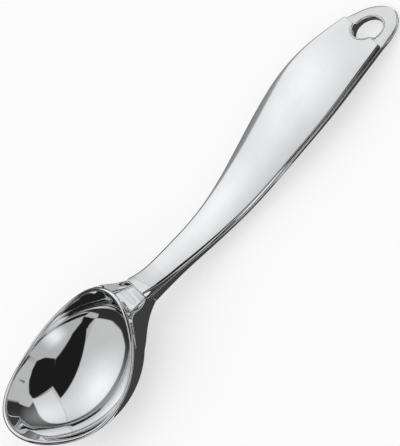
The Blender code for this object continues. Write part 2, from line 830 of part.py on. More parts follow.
def main():
    """Build every piece."""
    for old in list(bpy.data.objects):
        bpy.data.objects.remove(old, do_unlink=True)

    bowl_shape = bowl_mesh()
    back_shape = back_mesh()
    turn = rest_turn(bowl_shape, back_shape)
    ground = lowest(bowl_shape, turn, 0.0) + GROUND_FLAT_DEPTH
    cut_ground_flat(bowl_shape, turn, ground)
    cut_ground_flat(back_shape, turn, ground)

    frame = bpy.data.objects.new("rest_attitude", None)
    bpy.context.collection.objects.link(frame)
    frame.rotation_euler = (0.0, turn, 0.0)

    shade(bowl_shape)
    bowl = add_piece("bowl", bowl_shape, frame, MIRROR_CHROME)

    neck_shape = neck_mesh()
    shade(neck_shape)
    neck = add_piece("neck", neck_shape, frame, MIRROR_CHROME)
    apply_boolean(neck, add_cutter("bowl_cutter", bowl_cutter_mesh(), frame))
    spigot_places = stations(NECK_REAR_X - SPIGOT_ROOT, spigot_end_x(), BAR_RINGS)
    spigot = bar_mesh("neck_spigot", spigot_places, SPIGOT_WIDTH, spigot_low, SPIGOT_THICKNESS)
    apply_boolean(neck, add_cutter("neck_spigot", spigot, frame), "UNION")
    holes = rivet_cylinders(
        "rivet_holes", rivet_places(), RIVET_DIAMETER / 2 + GAP, CUT_OVERRUN)
    rivet_holes = add_cutter("rivet_holes", holes, frame)
    apply_boolean(neck, rivet_holes)

    tang_start = NECK_REAR_X + TANG_START
    tang_places = stations(tang_start, tang_start + TANG_LENGTH, INNER_RINGS)
    tang_shape = bar_mesh("tang", tang_places, TANG_WIDTH, tang_low, TANG_THICKNESS)
    tang = add_piece("tang", tang_shape, frame, ROLLED_STEEL)
    apply_boolean(tang, rivet_holes)

    rivets = []
    for side, place in zip(("front", "rear"), rivet_places()):
        name = "tang_rivet_" + side
        rivet = rivet_cylinders(name, [place], RIVET_DIAMETER / 2, 0.0)
        shade(rivet)
        rivets.append(add_piece(name, rivet, frame, ROLLED_STEEL))

    filler = add_piece("handle_filler", filler_mesh(), frame, CAST_FILLER)
    slot_places = stations(spigot_end_x(), spigot_end_x() + TANG_LENGTH, INNER_RINGS)
    slot = bar_mesh("tang_slot", slot_places, TANG_WIDTH + 2 * GAP,
                    lambda x: tang_low(x) - GAP, TANG_THICKNESS + 2 * GAP)
    apply_boolean(filler, add_cutter("tang_slot", slot, frame))

    placement = bore_matrix()
    sleeve_radius = BORE_DIAMETER / 2 + SLEEVE_WALL
    hole = cylinder_mesh("sleeve_hole", sleeve_radius + GAP, BORE_CUT_LENGTH, placement)
    sleeve_hole = add_cutter("sleeve_hole", hole, frame)

    cover_shape = cover_mesh()
    shade(cover_shape)
    cover = add_piece("handle_cover", cover_shape, frame, MIRROR_CHROME)
    apply_boolean(cover, add_cutter("cover_hollow", cover_hollow_mesh(), frame))
    apply_boolean(cover, sleeve_hole)

    shade(back_shape)
    back = add_piece("handle_back", back_shape, frame, MIRROR_CHROME)
    apply_boolean(back, add_cutter("back_hollow", back_hollow_mesh(), frame))
    apply_boolean(back, sleeve_hole)

    tube = cylinder_mesh("hanging_hole_sleeve", sleeve_radius, BORE_CUT_LENGTH / 2, placement)
    shade(tube)
    sleeve = add_piece("hanging_hole_sleeve", tube, frame, MIRROR_CHROME)
    bore = cylinder_mesh("bore", BORE_DIAMETER / 2, BORE_CUT_LENGTH, placement)
    apply_boolean(sleeve, add_cutter("bore", bore, frame))
    envelope = handle_envelope_mesh(SLEEVE_PROUD)
    apply_boolean(sleeve, add_cutter("handle_envelope", envelope, frame), "INTERSECT")

    pieces = [bowl, neck, tang, *rivets, filler, cover, back, sleeve]
    centre_on_ground(frame, pieces, ground)


main()
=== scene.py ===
"""Looks of a rigid, mirror-polished ice cream scoop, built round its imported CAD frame.

Every visible shell is modelled in the scoop's own drawing space: millimetres, X from
the tip of the bowl to the hanging end, Y to the left, Z up from the lowest point of the
bowl's rim. A rest attitude then turns it about Y and shifts it, as the CAD frame has it.
"""

import logging
import math
from collections.abc import Sequence
from dataclasses import dataclass, field
from enum import Enum
from functools import cached_property

import bmesh
import bpy
import numpy as np
from mathutils import Matrix, Vector


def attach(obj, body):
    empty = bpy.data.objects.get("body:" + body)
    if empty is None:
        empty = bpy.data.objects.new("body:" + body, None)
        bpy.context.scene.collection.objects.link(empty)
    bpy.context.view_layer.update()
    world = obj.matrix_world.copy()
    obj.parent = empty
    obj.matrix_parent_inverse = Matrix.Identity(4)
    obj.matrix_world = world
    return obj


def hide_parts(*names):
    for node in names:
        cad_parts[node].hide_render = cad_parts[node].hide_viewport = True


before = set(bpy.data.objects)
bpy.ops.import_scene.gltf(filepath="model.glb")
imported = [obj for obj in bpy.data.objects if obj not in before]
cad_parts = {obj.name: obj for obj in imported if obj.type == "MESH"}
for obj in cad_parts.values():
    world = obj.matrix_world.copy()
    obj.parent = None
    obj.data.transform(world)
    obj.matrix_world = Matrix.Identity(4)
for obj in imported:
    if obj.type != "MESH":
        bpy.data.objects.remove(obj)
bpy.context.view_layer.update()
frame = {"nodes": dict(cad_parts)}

LOG = logging.getLogger("scoop")
MM = 0.001
BLACK = (0.0, 0.0, 0.0, 1.0)
WHITE = (1.0, 1.0, 1.0, 1.0)
Triple = tuple[float, float, float]
Corners = tuple[tuple[float, float], ...]


class Slot(Enum):
    """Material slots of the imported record."""

    BOWL = "bowl_chrome"
    NECK = "neck_chrome"
    COVER = "handle_chrome"
    BACK = "back_chrome"
    SLEEVE = "sleeve_chrome"


@dataclass(frozen=True)
class Rail:
    """A smooth curve through (place, value) knots with steady curvature, level past both ends."""

    knots: tuple[tuple[float, float], ...]

    @cached_property
    def bends(self) -> np.ndarray:
        """Second derivatives at the knots, zero at both ends.

        Returns:
            One value per knot.
        """
        x, v = (np.array(part, float) for part in zip(*self.knots))
        runs = np.diff(x)
        rises = np.diff(v) / runs
        matrix = np.eye(len(x))
        right = np.zeros(len(x))
        for i in range(1, len(x) - 1):
            matrix[i, i - 1:i + 2] = (runs[i - 1], 2 * (runs[i - 1] + runs[i]), runs[i])
            right[i] = 6 * (rises[i] - rises[i - 1])
        return np.linalg.solve(matrix, right)

    def at(self, place: float) -> float:
        """Read the curve.

        Args:
            place: Where along the curve.

        Returns:
            The value there.
        """
        x = [knot[0] for knot in self.knots]
        v = [knot[1] for knot in self.knots]
        place = min(max(place, x[0]), x[-1])
        i = min(max(int(np.searchsorted(x, place)) - 1, 0), len(x) - 2)
        bend = self.bends
        run = x[i + 1] - x[i]
        a = (x[i + 1] - place) / run
        b = 1 - a
        arch = (a ** 3 - a) * bend[i] + (b ** 3 - b) * bend[i + 1]
        return float(a * v[i] + b * v[i + 1] + arch * run * run / 6)


@dataclass(frozen=True)
class RestAttitude:
    """How the drawing space lies in the CAD frame: turned about Y, then shifted by millimetres."""

    turn: float = math.radians(6.674640)
    shift_x: float = -104.172
    shift_z: float = 16.8985

    def turned(self, vector: Sequence[float]) -> Vector:
        """Turn a direction of the drawing space into the frame."""
        return Matrix.Rotation(self.turn, 3, "Y") @ Vector(vector)

    def matrix(self) -> Matrix:
        """The matrix from millimetres of the drawing space to metres of the frame."""
        place = Matrix.Translation(Vector((self.shift_x, 0.0, self.shift_z)) * MM)
        return place @ Matrix.Rotation(self.turn, 4, "Y") @ Matrix.Scale(MM, 4)


REST = RestAttitude()


class Socket:
    """A shader socket that grows Math nodes from Python expressions."""

    def __init__(self, bench: "ShaderBench", socket: bpy.types.NodeSocket) -> None:
        """Wrap a node's output, with the bench that makes further nodes."""
        self.bench = bench
        self.socket = socket

    def _math(self, operation: str, *values: "Socket | float") -> "Socket":
        """Add a Math node for the operation, with the values as its inputs in order."""
        return self.bench.node(
            "ShaderNodeMath", {"operation": operation}, dict(enumerate(values)))

    def __add__(self, other: "Socket | float") -> "Socket":
        """Sum."""
        return self._math("ADD", self, other)

    __radd__ = __add__

    def __sub__(self, other: "Socket | float") -> "Socket":
        """Difference."""
        return self._math("SUBTRACT", self, other)

    def __rsub__(self, other: "Socket | float") -> "Socket":
        """Difference from a plain number."""
        return self._math("SUBTRACT", other, self)

    def __mul__(self, other: "Socket | float") -> "Socket":
        """Product."""
        return self._math("MULTIPLY", self, other)

    __rmul__ = __mul__

    def __truediv__(self, other: "Socket | float") -> "Socket":
        """Quotient."""
        return self._math("DIVIDE", self, other)

    def __pow__(self, other: "Socket | float") -> "Socket":
        """Power."""
        return self._math("POWER", self, other)

    def function(self, operation: str) -> "Socket":
        """A Math node with this value alone."""
        return self._math(operation, self)

    def step(self, low: float, high: float) -> "Socket":
        """A smooth step from 0 at low to 1 at high."""
        settings = {"interpolation_type": "SMOOTHSTEP"}
        return self.bench.node("ShaderNodeMapRange", settings, {0: self, 1: low, 2: high})


class ShaderBench:
    """Makes the nodes of one material."""

    def __init__(self, name: str) -> None:
        """Start an empty material.

        Args:
            name: The material's name.
        """
        self.material = bpy.data.materials.new(name)
        self.material.use_nodes = True
        self.tree = self.material.node_tree
        self.tree.nodes.clear()

    def make(self, kind: str, settings: dict[str, object] | None = None,
             inputs: dict[int | str, object] | None = None) -> bpy.types.Node:
        """Add one node.

        Args:
            kind: The node's type.
            settings: Properties that are set before its sockets.
            inputs: Values or sockets by input name or number.

        Returns:
            The node.
        """
        node = self.tree.nodes.new(kind)
        for key, value in (settings or {}).items():
            setattr(node, key, value)
        for key, value in (inputs or {}).items():
            if isinstance(value, Socket):
                self.tree.links.new(value.socket, node.inputs[key])
            else:
                node.inputs[key].default_value = value
        return node

    def node(self, kind: str, settings: dict[str, object] | None = None,
             inputs: dict[int | str, object] | None = None, output: int | str = 0) -> Socket:
        """Add one node, as make does, and wrap the output that is asked for."""
        return Socket(self, self.make(kind, settings, inputs).outputs[output])

    def place(self, scale: Triple) -> Socket:
        """Object coordinates, with a factor per metre along each axis."""
        where = self.node("ShaderNodeTexCoord", output="Object")
        return self.node("ShaderNodeMapping", inputs={"Vector": where, "Scale": scale})

    def noise(self, scale: Triple, detail: float = 3.0) -> Socket:
        """Smooth noise from 0 to 1, with its waves per metre along each axis."""
        inputs = {"Vector": self.place(scale), "Scale": 1.0, "Detail": detail}
        return self.node("ShaderNodeTexNoise", inputs=inputs, output="Fac")

    def blend(self, factor: Socket, low: Sequence[float], high: Sequence[float]) -> Socket:
        """Mix two colours: low where the factor is 0, high where it is 1."""
        # a Mix node's colours are its inputs 6 and 7 and its output 2
        ends = {0: factor, 6: (*low, 1.0), 7: (*high, 1.0)}
        return self.node("ShaderNodeMix", {"data_type": "RGBA"}, ends, output=2)

    def bump(self, height: Socket, strength: float, depth: float) -> Socket:
        """Relief from a height of 0 to 1, with the share of it that shows and its depth in mm."""
        inputs = {"Strength": strength, "Distance": depth * MM, "Height": height}
        return self.node("ShaderNodeBump", inputs=inputs, output="Normal")

    def grey(self, value: Socket) -> Socket:
        """A grey of a varying level."""
        return self.node("ShaderNodeCombineColor", inputs={0: value, 1: value, 2: value})

    def surface(self, shader: Socket) -> bpy.types.Material:
        """Finish the material, with this shader as its surface."""
        self.make("ShaderNodeOutputMaterial", inputs={"Surface": shader})
        return self.material

    def shining(self, colour: "Socket | tuple[float, ...]") -> bpy.types.Material:
        """A surface that only shines.

        Args:
            colour: The colour of its light.

        Returns:
            The finished material.
        """
        return self.surface(self.node("ShaderNodeBsdfPrincipled", inputs={
            "Base Color": BLACK, "Specular IOR Level": 0.0,
            "Emission Color": colour, "Emission Strength": 1.0}))


@dataclass(frozen=True)
class MirrorChrome:
    """Bright plated metal: a mirror with faint buffing haze and a trace of polishing lines."""

    name: str
    tint: Triple = (0.93, 0.935, 0.945)
    haze_tint: Triple = (0.86, 0.865, 0.88)
    polish: float = 0.025
    haze: float = 0.05
    cloud_waves: Triple = (60.0, 60.0, 60.0)
    cloud_edges: tuple[float, float] = (0.42, 0.72)
    cloud_share: float = 0.7
    line_waves: Triple = (90.0, 2600.0, 2600.0)
    line_edges: tuple[float, float] = (0.5, 0.8)
    line_strength: float = 0.05
    line_depth: float = 0.004

    def material(self) -> bpy.types.Material:
        """Build the finish.

        Returns:
            The material.
        """
        bench = ShaderBench(self.name)
        cloud = bench.noise(self.cloud_waves).step(*self.cloud_edges)
        lines = bench.noise(self.line_waves, detail=2.0)
        smear = cloud * self.cloud_share + lines.step(*self.line_edges) * (1 - self.cloud_share)
        shader = bench.node("ShaderNodeBsdfPrincipled", inputs={
            "Metallic": 1.0,
            "Base Color": bench.blend(smear, self.tint, self.haze_tint),
            "Roughness": self.polish + smear * self.haze,
            "Normal": bench.bump(lines, self.line_strength, self.line_depth),
        })
        return bench.surface(shader)


@dataclass(frozen=True)
class RolledSteel:
    """Plain rolled bar inside the handle: dull, with lengthwise drawing lines."""

    name: str = "inner_rolled_steel"
    light: Triple = (0.60, 0.60, 0.61)
    dark: Triple = (0.42, 0.41, 0.41)
    line_waves: Triple = (60.0, 3000.0, 3000.0)
    line_strength: float = 0.3
    line_depth: float = 0.02
    roughness: tuple[float, float] = (0.3, 0.5)

    def material(self) -> bpy.types.Material:
        """Build the finish.

        Returns:
            The material.
        """
        bench = ShaderBench(self.name)
        lines = bench.noise(self.line_waves)
        low, high = self.roughness
        shader = bench.node("ShaderNodeBsdfPrincipled", inputs={
            "Metallic": 1.0,
            "Base Color": bench.blend(lines, self.dark, self.light),
            "Roughness": low + lines * (high - low),
            "Normal": bench.bump(lines, self.line_strength, self.line_depth),
        })
        return bench.surface(shader)


@dataclass(frozen=True)
class CastFiller:
    """Mineral-filled resin poured round the tang: matt, speckled and slightly pitted."""

    name: str = "cast_filler"
    base: Triple = (0.43, 0.42, 0.40)
    speck: Triple = (0.58, 0.57, 0.54)
    speck_edges: tuple[float, float] = (0.55, 0.7)
    grain_waves: Triple = (1800.0, 1800.0, 1800.0)
    pit_strength: float = 0.5
    pit_depth: float = 0.1
    roughness: tuple[float, float] = (0.75, 0.9)

    def material(self) -> bpy.types.Material:
        """Build the finish.

        Returns:
            The material.
        """
        bench = ShaderBench(self.name)
        grain = bench.noise(self.grain_waves, detail=5.0)
        low, high = self.roughness
        shader = bench.node("ShaderNodeBsdfPrincipled", inputs={
            "Base Color": bench.blend(grain.step(*self.speck_edges), self.base, self.speck),
            "Roughness": low + grain * (high - low),
            "Normal": bench.bump(grain, self.pit_strength, self.pit_depth),
        })
        return bench.surface(shader)


def extruded(bm: bmesh.types.BMesh, ring: Sequence[bmesh.types.BMEdge]
             ) -> tuple[set[bmesh.types.BMVert], list[bmesh.types.BMEdge]]:
    """Extrude an open ring of edges.

    Args:
        bm: The mesh.
        ring: Its open edges.

    Returns:
        The new vertices, still in the old ones' places, and the new open edges.
    """
    made = bmesh.ops.extrude_edge_only(bm, edges=ring)["geom"]
    verts = {part for part in made if isinstance(part, bmesh.types.BMVert)}
    edges = [part for part in made if isinstance(part, bmesh.types.BMEdge)]
    return verts, [edge for edge in edges if verts.issuperset(edge.verts)]


class Loft:
    """A skin drawn from ring to ring by extruding the last ring's edges."""

    def __init__(self, name: str, first: Sequence[Vector]) -> None:
        """Start with one closed ring.

        Args:
            name: The mesh's name.
            first: The ring's points in order.
        """
        self.name = name
        self.bm = bmesh.new()
        self.lane = self.bm.verts.layers.int.new("lane")
        self.crease = self.bm.edges.layers.float.new("crease_edge")
        bmesh.ops.create_circle(self.bm, segments=len(first), radius=1.0)
        self.bm.verts.ensure_lookup_table()
        for number, vert in enumerate(self.bm.verts):
            vert[self.lane] = number
            vert.co = first[number]
        self.ring = list(self.bm.edges)

    def to(self, points: Sequence[Vector]) -> None:
        """Extrude the open end to a new ring.

        Args:
            points: The new ring's points in the order of the first ring.
        """
        verts, self.ring = extruded(self.bm, self.ring)
        for vert in verts:
            vert.co = points[vert[self.lane]]

    def close(self, sharp: float = 0.0) -> None:
        """Close the open end with one face.

        Args:
            sharp: Crease of the end's edge, from 0 to 1.
        """
        bmesh.ops.contextual_create(self.bm, geom=self.ring)
        for edge in self.ring:
            edge[self.crease] = sharp

    def mesh(self) -> bpy.types.Mesh:
        """Turn the skin into a placed mesh, in the frame's metres."""
        bmesh.ops.recalc_face_normals(self.bm, faces=self.bm.faces)
        return finished_mesh(self.name, self.bm)


def finished_mesh(name: str, bm: bmesh.types.BMesh) -> bpy.types.Mesh:
    """Move a drawn mesh into the frame and free its builder.

    Args:
        name: The mesh's name.
        bm: The mesh in the drawing space.

    Returns:
        The mesh in the frame's metres.
    """
    mesh = bpy.data.meshes.new(name)
    bmesh.ops.transform(bm, matrix=REST.matrix(), verts=bm.verts)
    bm.to_mesh(mesh)
    bm.free()
    mesh.shade_smooth()
    return mesh


def new_object(name: str, mesh: bpy.types.Mesh) -> bpy.types.Object:
    """Link a mesh to the scene as an object at the origin.

    Args:
        name: The object's name.
        mesh: Its mesh.

    Returns:
        The object.
    """
    made = bpy.data.objects.new(name, mesh)
    bpy.context.scene.collection.objects.link(made)
    return made


def spread(start: float, end: float, count: int) -> list[float]:
    """Evenly spaced places from start to end, both included."""
    return [start + (end - start) * i / (count - 1) for i in range(count)]


@dataclass
class Shell:
    """What every polished piece shares: subdivision, cuts, finish and its place in the frame."""

    sharp_from: float = math.radians(38)
    weld: float = 1e-7

    def dress(self, piece: bpy.types.Object, finish: MirrorChrome, node: str,
              slot: Slot) -> bpy.types.Object:
        """Finish a piece and let it stand for its CAD node.

        Args:
            piece: The modelled piece.
            finish: Its metal.
            node: The CAD node that it replaces.
            slot: The record's material slot; not used.

        Returns:
            The piece.
        """
        piece.data.materials.clear()
        piece.data.materials.append(finish.material())
        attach(piece, "root")
        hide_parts(node)
        faces = len(piece.data.polygons)
        LOG.info("%s stands for %s with %d faces", piece.name, node, faces)
        return piece

    def subdivide(self, piece: bpy.types.Object, levels: int) -> None:
        """Smooth a cage with live subdivision."""
        smooth = piece.modifiers.new("round_surface", "SUBSURF")
        smooth.levels = smooth.render_levels = levels

    def cut(self, piece: bpy.types.Object, cutters: Sequence[bpy.types.Object]) -> None:
        """Cut a piece and settle all its modifiers into its mesh.

        Args:
            piece: The piece.
            cutters: Solids that are taken away, and then deleted.
        """
        for cutter in cutters:
            modifier = piece.modifiers.new(cutter.name, "BOOLEAN")
            modifier.operation = "DIFFERENCE"
            modifier.solver = "EXACT"
            modifier.object = cutter
        graph = bpy.context.evaluated_depsgraph_get()
        settled = bpy.data.meshes.new_from_object(piece.evaluated_get(graph))
        piece.modifiers.clear()
        piece.data = settled
        for cutter in cutters:
            bpy.data.objects.remove(cutter)
        settled.shade_smooth()
        settled.set_sharp_from_angle(angle=self.sharp_from)

    def rest_flat(self, piece: bpy.types.Object) -> None:
        """Cut the small flat on which a piece lies on the surface under it.

        Args:
            piece: The piece, with all its modifiers settled.
        """
        bm = bmesh.new()
        bm.from_mesh(piece.data)
        cut = bmesh.ops.bisect_plane(
            bm, geom=bm.verts[:] + bm.edges[:] + bm.faces[:], dist=self.weld, plane_co=(0, 0, 0),
            plane_no=(0, 0, -1), clear_outer=True)["geom_cut"]
        rim = [part for part in cut if isinstance(part, bmesh.types.BMEdge)]
        bmesh.ops.holes_fill(bm, edges=rim, sides=0)
        bm.to_mesh(piece.data)
        bm.free()


@dataclass
class Bowl(Shell):
    """The oval bowl: a round dish, an upright wall and a lip that rises to the heel and the tip."""

    length: float = 63.0
    width: float = 56.6
    depth: float = 13.5
    wall: float = 1.7
    # how much the plan narrows towards both ends, as a share
    point: float = 0.048
    # slope of the round base at its edge, and that edge's height at the tip, middle and heel
    base_angle: float = math.radians(50.0)
    shoulder: Triple = (4.0, -1.0, 1.0)
    # height of the lip along the bowl
    rim: Rail = Rail((
        (0, 5.2), (5, 3.65), (10, 2.25), (20, 0.45), (32, 1.2), (42, 3.5), (52.5, 7.85), (63, 14.395)))
    # a square patch of cells fills the middle, and rings go on from its edge
    patch_cells: int = 52
    patch_share: float = 0.3
    base_rings: int = 22
    base_crowding: float = 1.25
    turn_rings: int = 10
    wall_rings: int = 5
    lip_steps: int = 16
    # the bend from base to wall: its shares of the plan and of the wall's height
    turn_run: float = 0.12
    turn_rise: float = 0.2
    form_top: float = 10.0
    form_row_step: int = 3

    def plan(self, angle: float, share: float, grow: float) -> tuple[float, float]:
        """A point of the oval plan.

        Args:
            angle: Round the bowl, 0 at the heel.
            share: Share of the plan's size.
            grow: Growth outwards in mm.

        Returns:
            X and Y.
        """
        along = math.cos(angle)
        half = self.width / 2 * (1 - self.point * (along * share) ** 2)
        x = self.length / 2 + (self.length / 2 + grow) * share * along
        return x, (half + grow) * share * math.sin(angle)

    def rim_height(self, angle: float) -> float:
        """Height of the lip at an angle round the bowl."""
        return self.rim.at(self.length / 2 * (1 + math.cos(angle)))

    def base(self, angle: float, share: float, grow: float, bottom: float) -> Vector:
        """A point of the round base.

        Args:
            angle: Round the bowl, 0 at the heel.
            share: Share of the plan's size.
            grow: Growth of the plan.
            bottom: Height of its middle.

        Returns:
            The point; the base's edge lies on a parabola through the tip's, middle's and heel's
            heights.
        """
        tip, middle, heel = self.shoulder
        along = math.cos(angle)
        edge = middle + ((heel + tip) / 2 - middle) * along ** 2
        edge += (heel - tip) / 2 * along * min(share, 1.0)
        tilt = math.asin(min(share * math.sin(self.base_angle), 1.0))
        lift = (1 - math.cos(tilt)) / (1 - math.cos(self.base_angle))
        return Vector((*self.plan(angle, share, grow), bottom + (edge - bottom) * lift))

    def column(self, angle: float, grow: float, bottom: float) -> list[Vector]:
        """One side of the shell from the patch's edge to under the lip.

        Args:
            angle: Round the bowl, 0 at the heel.
            grow: Growth of the plan, 0 outside and minus the wall inside.
            bottom: Height of the base's middle.

        Returns:
            The points, closer together near the patch.
        """
        run = 1 - self.turn_run - self.patch_share
        shares = [self.patch_share + run * t ** self.base_crowding
                  for t in spread(0.0, 1.0, self.base_rings)]
        points = [self.base(angle, share, grow, bottom) for share in shares]
        corner = self.base(angle, 1.0, grow, bottom)
        top = Vector((corner.x, corner.y, self.rim_height(angle) - self.wall / 2))
        start, end = points[-1], corner.lerp(top, self.turn_rise)
        for t in spread(0.0, 1.0, self.turn_rings + 1)[1:]:
            points.append(start.lerp(corner, t).lerp(corner.lerp(end, t), t))
        points += [end.lerp(top, t) for t in spread(0.0, 1.0, self.wall_rings)[1:]]
        return points

    def lip(self, angle: float, turn: float) -> Vector:
        """A point on the half-round lip.

        Args:
            angle: Round the bowl.
            turn: Round the lip, 0 at the inner wall and pi at the outer.

        Returns:
            The point.
        """
        radius = self.wall / 2
        grow = -radius - radius * math.cos(turn)
        height = self.rim_height(angle) - radius + radius * math.sin(turn)
        return Vector((*self.plan(angle, 1.0, grow), height))

    def side(self, bm: bmesh.types.BMesh, bottom: float, grow: float,
             turns: Sequence[float]) -> list[bmesh.types.BMEdge]:
        """Model one side of the shell from its middle to the crest of the lip.

        Args:
            bm: The mesh that takes it.
            bottom: Height of the base's middle.
            grow: Growth of the plan.
            turns: Places round the lip.

        Returns:
            The open edge.
        """
        angles = bm.verts.layers.float["angle"]
        segments = self.patch_cells + 1
        grid = bmesh.ops.create_grid(bm, x_segments=segments, y_segments=segments, size=1.0)["verts"]
        quarter = math.pi / 4
        for vert in grid:
            u = math.sqrt(2) * math.sin(vert.co.x * quarter)
            v = math.sqrt(2) * math.sin(vert.co.y * quarter)
            x, y = u * math.sqrt(1 - v * v / 2), v * math.sqrt(1 - u * u / 2)
            angle = math.atan2(y, x)
            vert[angles] = angle
            vert.co = self.base(angle, math.hypot(x, y) * self.patch_share, grow, bottom)
        ring = list(dict.fromkeys(e for v in grid for e in v.link_edges if e.is_boundary))
        columns: dict[float, list[Vector]] = {}
        for angle in {vert[angles] for edge in ring for vert in edge.verts}:
            columns[angle] = self.column(angle, grow, bottom)
            columns[angle] += [self.lip(angle, turn) for turn in turns]
        for row in range(1, max(map(len, columns.values()))):
            verts, ring = extruded(bm, ring)
            for vert in verts:
                vert.co = columns[vert[angles]][row]
        return ring

    def form(self, name: str, grow: float) -> bpy.types.Object:
        """The bowl's outer form as a solid that reaches above the rim.

        Args:
            name: The solid's name.
            grow: Growth beyond the outer face.

        Returns:
            The solid.
        """
        around = 2 * self.patch_cells
        angles = spread(0.0, 2 * math.pi * (1 - 1 / around), around)
        above = Vector((0.0, 0.0, self.form_top))
        columns = [self.column(a, grow, -self.depth - grow) for a in angles]
        skin = Loft(name, [column[0] for column in columns])
        skin.close()
        for row in range(self.form_row_step, len(columns[0]), self.form_row_step):
            skin.to([column[row] for column in columns])
        skin.to([column[-1] + above for column in columns])
        skin.close()
        return new_object(name, skin.mesh())

    def build(self) -> bpy.types.Object:
        """Model the bowl.

        Returns:
            The piece.
        """
        bm = bmesh.new()
        bm.verts.layers.float.new("angle")
        half = self.lip_steps // 2
        inner_turns = [math.pi * i / self.lip_steps for i in range(1, half + 1)]
        outer_turns = [math.pi * (1 - i / self.lip_steps) for i in range(1, half)]
        inside = self.side(bm, -self.depth + self.wall, -self.wall, inner_turns)
        outside = self.side(bm, -self.depth, 0.0, outer_turns)
        bmesh.ops.bridge_loops(bm, edges=inside + outside)
        bmesh.ops.recalc_face_normals(bm, faces=bm.faces)
        piece = new_object("polished_bowl", finished_mesh("polished_bowl", bm))
        self.rest_flat(piece)
        return piece


@dataclass
class HandleLines:
    """The lines that both handle shells, the neck and the sleeve follow."""

    front_x: float = 69.7
    neck_rear_x: float = 71.3
    crease_x: float = 194.5
    tip_x: float = 208.3
    seam: float = 0.3
    tab_taper: float = 0.24
    # half the width of the face, and how much wider the foot of its skirt is
    half: Rail = Rail((
        (69.7, 5.6), (74, 5.6), (80, 6.0), (86, 6.45), (92, 6.95), (99.6, 7.6), (107, 8.4),
        (121.5, 10.65), (136, 13.05), (151, 15.3), (165.3, 16.3), (180, 14.75), (194.5, 11.6)))
    flare: Rail = Rail((
        (69.7, 1.0), (73, 0.75), (77, 0.4), (82, 0.25), (107, 0.25), (165.3, 0.25), (180, 0.3),
        (194.5, 0.55)))
    # height of the face's edge, and how far its middle stands above that
    edge: Rail = Rail((
        (69.7, 9.0), (71.5, 8.2), (74, 7.15), (77.7, 6.0), (85, 4.9), (92, 4.1), (107, 3.45),
        (121.5, 4.9), (136, 7.8), (151, 10.9), (165.3, 13.1), (180, 13.8), (194.5, 13.0)))
    crown: Rail = Rail((
        (69.7, 0.3), (77, 0.35), (92, 0.45), (107, 0.75), (121.5, 1.05), (143, 1.5), (165.3, 1.6),
        (180, 1.15), (194.5, 0.1)))
    # width and slope of the face's rolled edge, and depth of the skirt down to the seam
    roll: Rail = Rail((
        (69.7, 0.6), (80, 0.9), (92, 0.9), (107, 0.7), (125, 0.45), (143, 0.4), (165.3, 0.5),
        (180, 0.55), (194.5, 0.55)))
    roll_slope: float = 0.42
    skirt: Rail = Rail((
        (69.7, 3.2), (74, 1.9), (80, 0.95), (107, 0.85), (165.3, 0.9), (194.5, 1.2)))
    # depth of the back's sides, which lean inwards, and of the belly below them
    side: Rail = Rail((
        (69.7, 4.6), (74, 4.2), (80, 3.5), (92, 2.2), (107, 1.4), (124, 1.3), (145, 1.5),
        (165.3, 1.8), (187, 2.1), (194.5, 2.0), (208, 1.1)))
    belly: Rail = Rail((
        (69.7, 0.9), (80, 1.3), (92, 1.9), (107, 1.7), (124, 1.8), (145, 2.2), (165.3, 2.5),
        (180, 2.2), (194.5, 1.2), (208, 1.0)))
    lean: float = 0.25
    tab_tip_z: float = 9.0

    def back_half(self, x: float) -> float:
        """Half the back shell's width, with the round end of the tab.

        Args:
            x: Place along the handle.

        Returns:
            Half the width.
        """
        reach = min(max((x - self.crease_x) / (self.tip_x - self.crease_x), 0.0), 1.0)
        half = self.half.at(x) + self.flare.at(x)
        return half * (1 - self.tab_taper * reach) * math.sqrt(1 - reach ** 3)

    def seam_z(self, x: float) -> float:
        """Height of the seam, which runs on as the top of the tab.

        Args:
            x: Place along the handle.

        Returns:
            The height.
        """
        if x <= self.crease_x:
            return self.edge.at(x) - self.skirt.at(x)
        start = self.edge.at(self.crease_x) - self.skirt.at(self.crease_x)
        reach = (x - self.crease_x) / (self.tip_x - self.crease_x)
        return start + (self.tab_tip_z - start) * reach

    def under_z(self, x: float, belly_share: float = 1.0) -> float:
        """Height of the back shell's underside, with a share of the belly's depth."""
        return self.seam_z(x) - self.side.at(x) - self.belly.at(x) * belly_share

    def face_z(self, x: float, share: float) -> float:
        """Height of the crowned face.

        Args:
            x: Place along the handle.
            share: Share of the half width, 0 in the middle.

        Returns:
            The height.
        """
        roll = self.roll.at(x)
        inner = 1 - roll / self.half.at(x)
        fall = max(share - inner, 0.0) / (1 - inner)
        return (self.edge.at(x) + self.crown.at(x) * (1 - min(share / inner, 1.0) ** 2)
                + roll * self.roll_slope * (1 - fall))


